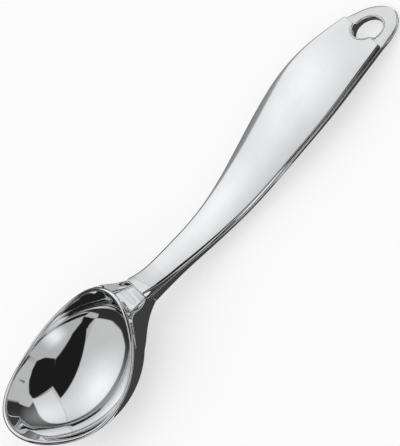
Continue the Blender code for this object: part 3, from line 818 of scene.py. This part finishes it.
@dataclass
class HandleCover(Shell):
    """The crowned face of the handle, with round edges and short skirts."""

    lines: HandleLines = field(default_factory=HandleLines)
    rings: int = 34
    # where a section has points: on the crown, and on the rolled edge
    face_shares: tuple[float, ...] = (0.0, 0.25, 0.5, 0.72, 0.9, 1.0)
    roll_shares: tuple[float, ...] = (0.3, 0.7)
    edge_round: float = 0.6
    edge_inset: float = 0.072
    edge_drop: float = 0.03
    skirt_proud: float = 0.02
    foot_rise: float = 0.12
    end_round: float = 0.35
    end_crease: float = 0.5
    front_run: float = 3.2
    rear_run: float = 3.0

    def section(self, x: float, shrink: float) -> list[Vector]:
        """One closed section.

        Args:
            x: Place along the handle.
            shrink: How far the outline is drawn in, in mm.

        Returns:
            The ring's points.
        """
        lines = self.lines
        width = lines.half.at(x) - shrink
        foot = lines.seam_z(x) + lines.seam / 2
        inner = 1 - lines.roll.at(x) / lines.half.at(x)
        shares = [inner * u for u in self.face_shares]
        shares += [inner + (1 - inner) * u for u in self.roll_shares]
        half = [(width * u, lines.face_z(x, u) - shrink) for u in shares]
        skirt_top = lines.edge.at(x) - shrink
        low = min(self.edge_round, (skirt_top - foot) * 0.6)
        half.append((width - self.edge_inset, skirt_top - self.edge_drop))
        half.append((width + self.skirt_proud, skirt_top - low * 0.5))
        half.append((width + lines.flare.at(x) * 0.6, foot + self.foot_rise))
        half.append((width + lines.flare.at(x), foot))
        half.append((width * 0.5, foot))
        mirrored = [(-y, z) for y, z in reversed(half[1:])]
        points = half + [(0.0, foot)] + mirrored
        return [Vector((x, y, z)) for y, z in points]

    def build(self, cutters: Sequence[bpy.types.Object]) -> bpy.types.Object:
        """Model the cover.

        Args:
            cutters: Solids for the hollow and the hole.

        Returns:
            The piece.
        """
        lines = self.lines
        start, end, soft = lines.front_x, lines.crease_x, self.end_round
        places = [start, start + soft * 0.5, start + soft * 2]
        places += spread(start + self.front_run, end - self.rear_run, self.rings)
        places += [end - soft * 2, end - soft * 0.5, end]
        skin = Loft("handle_face", self.section(places[0], soft))
        skin.close(self.end_crease)
        for x in places[1:-1]:
            skin.to(self.section(x, 0.0))
        skin.to(self.section(places[-1], soft * 0.5))
        skin.close(self.end_crease)
        piece = new_object("handle_face", skin.mesh())
        self.subdivide(piece, 2)
        self.cut(piece, cutters)
        return piece


@dataclass
class HandleBack(Shell):
    """The underside of the handle, which runs on past the crease as the round tab."""

    lines: HandleLines = field(default_factory=HandleLines)
    rings: int = 32
    tab_rings: int = 7
    least_half: float = 0.2
    tab_softness: float = 2.5
    tab_soft_run: float = 2.0
    # how far in and how far down the points of the top's rounded edge lie
    top_edge: Corners = ((0.5, 0.0), (0.08, 0.06), (0.0, 0.3))
    side_shares: tuple[float, ...] = (0.35, 0.65, 0.9)
    belly_steps: int = 6
    belly_fullness: float = 0.75
    front_gap: float = 0.1
    front_run: float = 2.0
    front_crease: float = 0.8
    tip_gap: float = 0.05

    def section(self, x: float) -> list[Vector]:
        """One closed section.

        Args:
            x: Place along the handle.

        Returns:
            The ring's points.
        """
        lines = self.lines
        width = max(lines.back_half(x), self.least_half)
        top = lines.seam_z(x) - lines.seam / 2
        foot = top - lines.side.at(x)
        low = foot - lines.belly.at(x)
        lean = min(lines.lean * lines.side.at(x), width * 0.4)
        on_tab = min(max((x - lines.crease_x) / self.tab_soft_run, 0.0), 1.0)
        soft = 1.0 + self.tab_softness * on_tab
        half = [(0.0, top), (width * 0.5, top)]
        for inset, drop in self.top_edge:
            half.append((width - min(inset * soft, width * 0.3), top - drop * soft))
        for share in self.side_shares:
            half.append((width - lean * share, top + (foot - top) * share))
        for i in range(1, self.belly_steps):
            angle = math.pi / 2 * i / self.belly_steps
            reach = math.cos(angle) ** self.belly_fullness
            half.append(((width - lean) * reach, foot + (low - foot) * math.sin(angle)))
        mirrored = [(-y, z) for y, z in reversed(half[1:])]
        points = half + [(0.0, low)] + mirrored
        return [Vector((x, y, z)) for y, z in points]

    def build(self, cutters: Sequence[bpy.types.Object]) -> bpy.types.Object:
        """Model the back shell.

        Args:
            cutters: Solids for the hollow and the hole.

        Returns:
            The piece.
        """
        lines = self.lines
        start = lines.neck_rear_x + self.front_gap
        places = [start, start + self.front_run / 5]
        places += spread(start + self.front_run, lines.crease_x, self.rings)
        run = lines.tip_x - lines.crease_x
        for i in range(1, self.tab_rings + 1):
            places.append(lines.crease_x + run * math.sin(math.pi / 2 * i / (self.tab_rings + 0.5)))
        places.append(lines.tip_x - self.tip_gap)
        skin = Loft("handle_underside", self.section(places[0]))
        skin.close(self.front_crease)
        for x in places[1:]:
            skin.to(self.section(x))
        skin.close()
        piece = new_object("handle_underside", skin.mesh())
        self.subdivide(piece, 2)
        self.cut(piece, cutters)
        self.rest_flat(piece)
        return piece


@dataclass
class HoleSleeve(Shell):
    """The lining of the hanging hole with its rolled bright rim."""

    lines: HandleLines = field(default_factory=HandleLines)
    bore: float = 11.3
    wall: float = 0.9
    proud: float = 0.15
    from_crease: float = 1.9
    tilt: float = math.radians(8.5)
    sides: int = 64
    cutter_length: float = 30.0
    clearance: float = 0.03
    ease: float = 0.8
    seat: float = 0.1
    belly_share: float = 0.9

    def matrix(self) -> Matrix:
        """Placement of the bore in the drawing space.

        Returns:
            The matrix, with the bore along its Z.
        """
        x = self.lines.crease_x + self.from_crease
        height = (self.lines.seam_z(x) + self.lines.under_z(x)) / 2
        return Matrix.Translation((x, 0.0, height)) @ Matrix.Rotation(self.tilt, 4, "Y")

    def top_at(self, x: float, y: float) -> float:
        """Height of the handle's upper surface round the hole.

        Args:
            x: Place along the handle.
            y: Place across it.

        Returns:
            The height, eased over the crease.
        """
        lines = self.lines
        share = abs(y) / lines.half.at(min(x, lines.crease_x))
        face = lines.face_z(min(x, lines.crease_x), min(share, 1.0))
        tab = lines.seam_z(max(x, lines.crease_x)) - lines.seam / 2
        t = min(max((x - lines.crease_x) / (2 * self.ease) + 0.5, 0.0), 1.0)
        t = t * t * (3 - 2 * t)
        return face * (1 - t) + tab * t

    def cutter(self, name: str) -> bpy.types.Object:
        """A solid a little wider than the sleeve.

        Args:
            name: The cutter's name.

        Returns:
            The cutter.
        """
        bm = bmesh.new()
        radius = self.bore / 2 + self.wall + self.clearance
        bmesh.ops.create_cone(bm, cap_ends=True, segments=self.sides * 2, radius1=radius,
                              radius2=radius, depth=self.cutter_length, matrix=self.matrix())
        return new_object(name, finished_mesh(name, bm))

    def profile(self) -> list[Triple]:
        """The wall's closed outline.

        Returns:
            For each point its radius, its share of the height from the underside (0) to the top
            (1), and how far it stands above that height.
        """
        inner, outer = self.bore / 2, self.bore / 2 + self.wall
        return [
            (outer, 0.0, 0.25), (outer, 0.5, 0.0), (outer, 1.0, -0.25), (outer - 0.05, 1.0, 0.02),
            (outer - 0.3, 1.0, 0.14), (outer - 0.6, 1.0, 0.02), (inner + 0.1, 1.0, -0.35),
            (inner, 1.0, -0.8), (inner, 0.5, 0.0), (inner, 0.0, 0.7), (inner + 0.25, 0.0, 0.25),
            (inner + 0.5, 0.0, 0.1),
        ]

    def fit(self, spot: Vector, share: float, offset: float) -> Vector:
        """Move a point of the turned wall along the bore to where the shells end.

        Args:
            spot: Its place round the bore, at the height 0.
            share: Its share of the height.
            offset: How far it stands above that height.

        Returns:
            Its place in the drawing space.
        """
        place = self.matrix()
        axis = place.to_3x3() @ Vector((0, 0, 1))
        foot = place @ spot
        x = min(max(foot.x, self.lines.neck_rear_x), self.lines.tip_x)
        top = self.top_at(foot.x, foot.y) + self.proud - self.seat
        low = self.lines.under_z(x, self.belly_share)
        height = low + (top - low) * share
        return foot + axis * ((height - foot.z) / axis.z + offset)

    def build(self) -> bpy.types.Object:
        """Model the sleeve by turning its wall round the bore.

        Returns:
            The piece.
        """
        bm = bmesh.new()
        shares = bm.verts.layers.float.new("share")
        offsets = bm.verts.layers.float.new("offset")
        verts = []
        for radius, share, offset in self.profile():
            vert = bm.verts.new((radius, 0.0, self.bore * share + offset))
            vert[shares], vert[offsets] = share, offset
            verts.append(vert)
        edges = [bm.edges.new(pair) for pair in zip(verts, verts[1:] + verts[:1])]
        bmesh.ops.spin(bm, geom=verts + edges, axis=(0, 0, 1), cent=(0, 0, 0), dvec=(0, 0, 0),
                       angle=2 * math.pi, steps=self.sides, use_merge=True)
        bmesh.ops.remove_doubles(bm, verts=bm.verts, dist=1e-5)
        for vert in bm.verts:
            spot = Vector((vert.co.x, vert.co.y, 0.0))
            vert.co = self.fit(spot, vert[shares], vert[offsets])
        bmesh.ops.recalc_face_normals(bm, faces=bm.faces)
        piece = new_object("hole_lining", finished_mesh("hole_lining", bm))
        self.subdivide(piece, 2)
        return piece


@dataclass(frozen=True)
class Lane:
    """A line along the neck: how far out and how high it runs, as curves of X."""

    out: Rail
    height: Rail


@dataclass
class Neck(Shell):
    """The flared neck: a flat knuckle between hollowed shoulders that run out on the bowl."""

    lines: HandleLines = field(default_factory=HandleLines)
    bowl: Bowl = field(default_factory=Bowl)
    rings: int = 20
    wing_end: float = 69.6
    root_x: float = 50.0
    bite: float = 0.5
    wing_step: float = 0.03
    rear_crease: float = 0.8

    @cached_property
    def lanes(self) -> list[Lane]:
        """Lines along the neck from the knuckle's middle round to the keel's middle.

        Returns:
            The lines in order.
        """
        rear = self.lines.neck_rear_x
        top = self.lines.seam_z(rear) - self.lines.seam / 2
        half = self.lines.back_half(rear)
        side = self.lines.side.at(rear)
        keel = top - side - self.lines.belly.at(rear)
        knuckle = Rail((
            (60, 10.8), (61.5, 9.3), (63, 8.2), (64.6, 7.5), (66.8, 6.7), (69.7, 5.6), (rear, top)))
        knuckle_lines = [
            Lane(Rail(((60, 0.0), (rear, 0.0))), knuckle),
            Lane(Rail(((60, 3.9), (64.6, 3.5), (rear, 2.0))), knuckle),
            Lane(Rail(((60, 6.7), (64.6, 6.0), (66.8, 5.3), (rear, 3.6))), knuckle),
        ]
        beside_knuckle = Lane(
            Rail(((60, 7.1), (64.6, 6.4), (66.8, 5.7), (69.3, 4.9), (rear, 4.0))),
            Rail(((60, 10.3), (63, 7.5), (64.6, 6.7), (66.8, 5.9), (69.7, 5.1), (rear, top - 0.2))))
        trough = Lane(
            Rail(((60, 8.0), (64.6, 7.1), (66.8, 6.3), (69.3, 5.4), (rear, 4.6))),
            Rail(((60, 9.8), (63, 7.0), (64.6, 6.0), (66.8, 5.3), (69.7, 4.9), (rear, top - 0.4))))
        wing_inside = Lane(
            Rail(((50, 17.0), (58.8, 10.8), (61.7, 9.2), (64.6, 8.2), (66.8, 7.3), (69.3, 5.9),
                  (rear, 5.2))),
            Rail(((50, 6.0), (58.8, 10.0), (61.7, 8.8), (64.6, 6.9), (66.8, 6.1), (69.3, 5.8),
                  (rear, 5.7))))
        wing_crest = Lane(
            Rail(((50, 21.1), (55, 18.2), (58.8, 14.2), (61.7, 11.1), (64.6, 9.45), (67.5, 7.85),
                  (69.3, 6.55), (rear, 6.2))),
            Rail(((50, 4.0), (55, 7.4), (58.8, 10.2), (61.7, 11.1), (64.6, 9.2), (67.5, 7.8),
                  (69.3, 7.5), (rear, 7.4))))
        wing_edge = Lane(
            Rail(((50, 21.5), (55, 18.6), (58.8, 14.6), (61.7, 11.5), (64.6, 9.8), (67.5, 8.2),
                  (69.3, 6.9), (rear, half))),
            Rail(((50, 4.0), (55, 7.4), (58.8, 10.1), (61.7, 11.0), (64.6, 9.1), (67.5, 7.7),
                  (69.3, 7.4), (rear, 7.3))))
        under_edge = Lane(
            Rail(((50, 21.5), (55, 18.6), (58.8, 14.65), (61.7, 11.55), (64.6, 9.85), (67.5, 8.25),
                  (69.3, 6.95), (rear, half))),
            Rail(((50, 3.7), (55, 7.1), (58.8, 9.8), (61.7, 10.7), (64.6, 8.8), (67.5, 7.4),
                  (69.3, 7.1), (rear, 7.0))))
        wall_middle = Lane(
            Rail(((50, 22.0), (55, 19.3), (58.8, 15.6), (61.7, 12.3), (64.6, 10.1), (67.5, 8.4),
                  (69.3, 7.1), (rear, half + 0.1))),
            Rail(((50, 2.5), (55, 3.6), (58.8, 4.8), (61.7, 5.4), (64.6, 5.0), (67.5, 4.6),
                  (69.3, 4.2), (rear, top - side * 0.4))))
        wall_foot = Lane(
            Rail(((50, 21.2), (55, 18.2), (58.8, 14.4), (61.7, 11.7), (64.6, 9.5), (67.5, 7.7),
                  (69.7, 6.4), (rear, half * 0.86))),
            Rail(((50, -1.3), (55, -0.3), (58.8, -0.7), (61.7, -0.1), (64.6, 0.7), (67.5, 1.1),
                  (69.7, 1.1), (rear, top - side))))
        belly_out = Lane(
            Rail(((50, 15.5), (55, 13.2), (59.5, 10.4), (63, 8.2), (66.8, 6.1), (rear, half * 0.7))),
            Rail(((50, -3.5), (55, -1.8), (59.5, -0.8), (63, -0.3), (66.8, 0.2), (rear, keel + 0.7))))
        belly_in = Lane(
            Rail(((50, 8.0), (59.5, 5.8), (66.8, 3.6), (rear, half * 0.38))),
            Rail(((50, -6.8), (55, -4.9), (59.5, -3.4), (63, -2.4), (66.8, -1.4),
                  (rear, keel + 0.15))))
        keel_line = Lane(
            Rail(((50, 0.0), (rear, 0.0))),
            Rail(((50, -7.6), (55, -5.7), (59.5, -4.1), (63, -2.9), (66.8, -1.7), (rear, keel))))
        return [*knuckle_lines, beside_knuckle, trough, wing_inside, wing_crest, wing_edge,
                under_edge, wall_middle, wall_foot, belly_out, belly_in, keel_line]

    def section(self, x: float) -> list[Vector]:
        """One closed section.

        Args:
            x: Place along the neck.

        Returns:
            The ring's points.
        """
        half = [Vector((x, lane.out.at(x), lane.height.at(x))) for lane in self.lanes]
        if x > self.wing_end:
            seam = self.lines.seam_z(x) - self.lines.seam
            for point in half:
                point.z = min(point.z, seam)
        return half + [Vector((p.x, -p.y, p.z)) for p in reversed(half[1:-1])]

    def build(self) -> bpy.types.Object:
        """Model the neck.

        Returns:
            The piece.
        """
        wing_end, end, step = self.wing_end, self.lines.neck_rear_x, self.wing_step
        places = spread(self.root_x, wing_end - 1.0, self.rings)
        places += [wing_end - 10 * step, wing_end - step, wing_end + step]
        places += [end - 1.0, end - 0.25, end]
        skin = Loft("flared_neck", self.section(places[0]))
        skin.close()
        for x in places[1:]:
            skin.to(self.section(x))
        skin.close(self.rear_crease)
        piece = new_object("flared_neck", skin.mesh())
        self.subdivide(piece, 2)
        self.cut(piece, [self.bowl.form("bowl_form", -self.bite)])
        return piece


@dataclass
class InnerParts:
    """The CAD nodes inside the handle, which keep their shape and get their finish here."""

    steel: RolledSteel = RolledSteel()
    filler: CastFiller = CastFiller()
    steel_nodes: tuple[str, ...] = ("tang", "tang_rivet_front", "tang_rivet_rear")
    filler_nodes: tuple[str, ...] = ("handle_filler",)

    def dress(self, nodes: dict[str, bpy.types.Object]) -> None:
        """Give each inner node its material.

        Args:
            nodes: The frame's nodes by name.
        """
        steel, filler = self.steel.material(), self.filler.material()
        for names, material in ((self.steel_nodes, steel), (self.filler_nodes, filler)):
            for name in names:
                mesh = nodes[name].data
                mesh.materials.clear()
                mesh.materials.append(material)
                LOG.info("%s keeps its CAD shape in %s", name, material.name)


@dataclass(frozen=True)
class Glow:
    """A round soft light behind the tent's cloth, placed as a panel's corners are."""

    across: float
    along: float
    reach: float
    amount: float


@dataclass(frozen=True)
class Panel:
    """A convex piece of cloth or a dark opening on the tent.

    Its corners go anticlockwise, in degrees from the zenith towards +X and +Y.
    """

    corners: Corners
    level: float
    soft: float = 1.2  # half the width of its blurred edge


@dataclass
class Tent:
    """The light tent that only the metal sees: graded white cloth with dark openings."""

    radius: float = 30.0
    foot_z: float = -0.02
    base: float = 0.03
    cloth: tuple[Panel, ...] = (
        Panel(((-53, -2), (36, -2), (36, 67.5), (20, 68.5), (4, 67), (-12, 64.5), (-28, 61),
               (-40, 55.5), (-49, 43), (-53.5, 24)), 0.56),
        Panel(((-48, -75), (36, -75), (36, 0), (-62, 2), (-68, -25)), 0.46),
        Panel(((36, -70), (52, -56), (60, -40), (62, -14), (62, 8), (36, 8)), 0.50),
        Panel(((58, -20), (70, -20), (76, -10), (80, 0), (79, 11), (67, 21), (58, 10)), 0.50),
        Panel(((36, 8), (61, 10), (61, 25), (60, 38), (57, 49), (52, 58), (45, 64), (36, 67.5)), 0.62),
    )
    openings: tuple[Panel, ...] = (
        Panel(((-53, -1), (-53, -19), (-35.5, -18.5), (-35.5, -3.5)), 0.012, 0.8),
        Panel(((-37, -5), (-37, -18.5), (13, -18), (34, 4), (34, 25)), 0.012, 0.8),
        Panel(((12, -19), (22, -31), (32, -37), (44, -30), (54, -18), (61, 0), (60, 9), (32, 5)),
              0.012, 0.8),
    )
    glows: tuple[Glow, ...] = (
        Glow(-1, 50, 46, 0.42),
        Glow(52, 40, 36, 0.24),
        Glow(-9, -42, 24, 0.45),
    )

    def over(self, spot: tuple[Socket, Socket], level: "Socket | float", panel: Panel) -> Socket:
        """Lay a panel over what the tent has so far.

        Args:
            spot: Degrees from the zenith towards +X and +Y.
            level: Brightness so far.
            panel: The panel.

        Returns:
            The brightness with the panel.
        """
        inside = 1.0
        for start, end in zip(panel.corners, panel.corners[1:] + panel.corners[:1]):
            run = Vector(end) - Vector(start)
            run.normalize()
            depth = spot[1] * run.x - spot[0] * run.y + (start[0] * run.y - start[1] * run.x)
            inside = depth.step(-panel.soft, panel.soft) * inside
        return inside * panel.level + (1.0 - inside) * level

    def material(self) -> bpy.types.Material:
        """Build the tent's cloth.

        Returns:
            The material, which only shines.
        """
        bench = ShaderBench("tent_cloth")
        tiny = 1e-5
        where = bench.node("ShaderNodeTexCoord", output="Object")
        way = bench.node("ShaderNodeVectorMath", {"operation": "NORMALIZE"}, {0: where})
        x, y, z = (bench.node("ShaderNodeSeparateXYZ", inputs={0: way}, output=i) for i in range(3))
        from_top = z.function("ARCCOSINE") * math.degrees(1.0)
        scale = from_top / ((x * x + y * y).function("SQRT") + tiny)
        spot = (x * scale, y * scale)
        level = self.base
        for panel in self.cloth:
            level = self.over(spot, level, panel)
        for glow in self.glows:
            away = (spot[0] - glow.across) ** 2.0 + (spot[1] - glow.along) ** 2.0
            level = level + (1.0 - away.function("SQRT").step(0.0, glow.reach)) * glow.amount
        for panel in self.openings:
            level = self.over(spot, level, panel)
        return bench.shining(bench.grey(level))

    def build(self) -> None:
        """Hang the tent round the scoop."""
        bm = bmesh.new()
        bmesh.ops.create_icosphere(bm, subdivisions=5, radius=self.radius)
        bmesh.ops.bisect_plane(bm, geom=bm.verts[:] + bm.edges[:] + bm.faces[:],
                               plane_co=(0, 0, self.foot_z), plane_no=(0, 0, -1),
                               clear_outer=True)
        for_metal_only(staged("tent", bm, self.material()))


def staged(name: str, bm: bmesh.types.BMesh, material: bpy.types.Material) -> bpy.types.Object:
    """Put a piece of the studio into the scene.

    Args:
        name: Its name.
        bm: Its mesh in the frame's metres, which is freed.
        material: Its surface.

    Returns:
        The object.
    """
    mesh = bpy.data.meshes.new(name)
    bm.to_mesh(mesh)
    bm.free()
    mesh.materials.append(material)
    made = new_object(name, mesh)
    return made


def for_metal_only(card: bpy.types.Object) -> None:
    """Let only the metal's reflections see a studio card.

    Args:
        card: The card.
    """
    card.visible_camera = False
    card.visible_diffuse = False
    card.visible_transmission = False
    card.visible_volume_scatter = False
    card.visible_shadow = False


@dataclass(frozen=True)
class Card:
    """A flat black card that the metal alone sees, with its corners in mm."""

    name: str
    corners: Corners
    height: float
    level: float

    def build(self) -> None:
        """Lay the card."""
        bm = bmesh.new()
        bmesh.ops.create_circle(bm, cap_ends=True, segments=len(self.corners), radius=1.0)
        for vert, (x, y) in zip(bm.verts, self.corners):
            vert.co = Vector((x, y, self.height)) * MM
        for_metal_only(staged(self.name, bm, black_cloth(self.name, self.level)))


def black_cloth(name: str, level: float) -> bpy.types.Material:
    """The cloth of the black cards, which still look as bright as level."""
    return ShaderBench(name).shining((level, level, level, 1.0))


@dataclass
class Blackout:
    """Black cards: one under the scoop as a painted shadow on the floor for the metal's reflections,
    one all round it far off, and a flag above the tip.
    """

    # painted shadow: a near-black sheet just above the floor under the scoop, seen only by the metal,
    # standing in for the floor's shade beneath it
    under: Card = Card("painted_shadow_card", (
        (-104, 8), (-98, -20), (-86, -36), (-72, -44), (-56, -46), (-42, -44), (-20, -34), (-8, -28),
        (2, -16), (30, -14), (42, -18), (52, -23), (61, -30), (76, -28), (90, -24), (104, -10),
        (106, 2), (60, 16), (20, 9), (-20, 40), (-40, 60), (-60, 50), (-80, 40), (-98, 24)),
        height=0.1, level=0.05)
    flag: Card = Card("flag", (
        (-142, 0), (-138, -20), (-126, -46), (-112, -50), (-92, -42), (-94, -26), (-99, -13),
        (-108, -7), (-118, 0)), height=50.0, level=0.015)
    far_level: float = 0.05
    far_height: float = 0.0002
    far_opening: tuple[float, float] = (0.13, 0.06)
    far_radius: float = 2.9
    far_sides: int = 64

    def build(self) -> None:
        """Lay the cards."""
        self.under.build()
        self.flag.build()
        bm = bmesh.new()
        bmesh.ops.create_circle(bm, segments=self.far_sides, radius=1.0)
        opening = list(bm.verts)
        outside, _ = extruded(bm, bm.edges[:])
        bmesh.ops.scale(bm, vec=(self.far_radius, self.far_radius, 1), verts=list(outside))
        bmesh.ops.scale(bm, vec=(*self.far_opening, 1), verts=opening)
        bmesh.ops.translate(bm, vec=(0, 0, self.far_height), verts=bm.verts)
        for_metal_only(staged("far_card", bm, black_cloth("far_card", self.far_level)))


@dataclass
class Studio:
    """Pale floor, white surroundings and the camera; the tent that only the metal sees is built on its
    own.
    """

    view_tilt: float = math.radians(45.0)
    roll_cos: float = 0.68
    roll_sin: float = 0.7332
    target: Triple = (103.0, 0.0, 6.56)
    lens: float = 400.0
    distance: float = 1810.0
    camera_reach: float = 20.0
    floor_radius: float = 3.0
    floor_sides: int = 96
    floor_waves: Triple = (12.0, 12.0, 12.0)
    floor_dark: Triple = (0.93, 0.93, 0.93)
    floor_light: Triple = (0.94, 0.94, 0.94)
    floor_roughness: float = 0.9
    backdrop_white: float = 0.6

    def camera(self) -> None:
        """Set the camera at the photograph's angle and framing."""
        along = Vector((1.0, 0.0, 0.0))
        rise = Vector((0.0, math.cos(self.view_tilt), math.sin(self.view_tilt)))
        back = Vector((0.0, -math.sin(self.view_tilt), math.cos(self.view_tilt)))
        right = along * self.roll_cos - rise * self.roll_sin
        up = along * self.roll_sin + rise * self.roll_cos
        axes = [REST.turned(axis) for axis in (right, up, back)]
        turn = Matrix(axes).transposed().to_4x4()
        centre = REST.matrix() @ Vector(self.target)
        data = bpy.data.cameras.new("camera")
        data.lens = self.lens
        data.clip_end = self.camera_reach
        camera = bpy.data.objects.new("camera", data)
        camera.matrix_world = Matrix.Translation(centre + axes[2] * self.distance * MM) @ turn
        bpy.context.scene.collection.objects.link(camera)
        bpy.context.scene.camera = camera

    def world(self) -> None:
        """Plain white light from all round; the metal sees the tent in front of it."""
        world = bpy.data.worlds.new("white_studio")
        bpy.context.scene.world = world
        world.use_nodes = True
        shader = world.node_tree.nodes["Background"]
        shader.inputs["Color"].default_value = WHITE
        shader.inputs["Strength"].default_value = 1.0

    def floor(self) -> None:
        """A pale matt floor under the scoop."""
        bm = bmesh.new()
        bmesh.ops.create_circle(
            bm, cap_ends=True, segments=self.floor_sides, radius=self.floor_radius)
        bench = ShaderBench("pale_floor")
        mottle = bench.noise(self.floor_waves)
        lit = bench.node("ShaderNodeBsdfPrincipled", inputs={
            "Base Color": bench.blend(mottle, self.floor_dark, self.floor_light),
            "Roughness": self.floor_roughness, "Specular IOR Level": 0.0})
        white = bench.node("ShaderNodeEmission", inputs={"Color": WHITE})
        seen = bench.node("ShaderNodeLightPath", output="Is Camera Ray") * self.backdrop_white
        mixed = bench.node("ShaderNodeMixShader", inputs={0: seen, 1: lit, 2: white})
        staged("floor", bm, bench.surface(mixed))


def main() -> None:
    """Build the scoop and its studio."""
    logging.basicConfig(level=logging.INFO, format="%(name)s: %(message)s")
    bowl = Bowl()
    bowl.dress(bowl.build(), MirrorChrome("bowl_mirror"), "bowl", Slot.BOWL)
    lines = HandleLines()
    neck = Neck(lines=lines, bowl=bowl)
    neck.dress(neck.build(), MirrorChrome("neck_mirror"), "neck", Slot.NECK)
    sleeve = HoleSleeve(lines=lines)
    cover = HandleCover(lines=lines)
    face = cover.build([sleeve.cutter("face_hole")])
    cover.dress(face, MirrorChrome("face_mirror"), "handle_cover", Slot.COVER)
    back = HandleBack(lines=lines)
    underside = back.build([sleeve.cutter("back_hole")])
    back.dress(underside, MirrorChrome("back_mirror"), "handle_back", Slot.BACK)
    sleeve.dress(sleeve.build(), MirrorChrome("sleeve_mirror"), "hanging_hole_sleeve", Slot.SLEEVE)
    InnerParts().dress(frame["nodes"])
    studio = Studio()
    studio.floor()
    Tent().build()
    Blackout().build()
    studio.world()
    studio.camera()
    bpy.context.scene.view_settings.view_transform = "Standard"


if __name__ == "__main__":
    main()
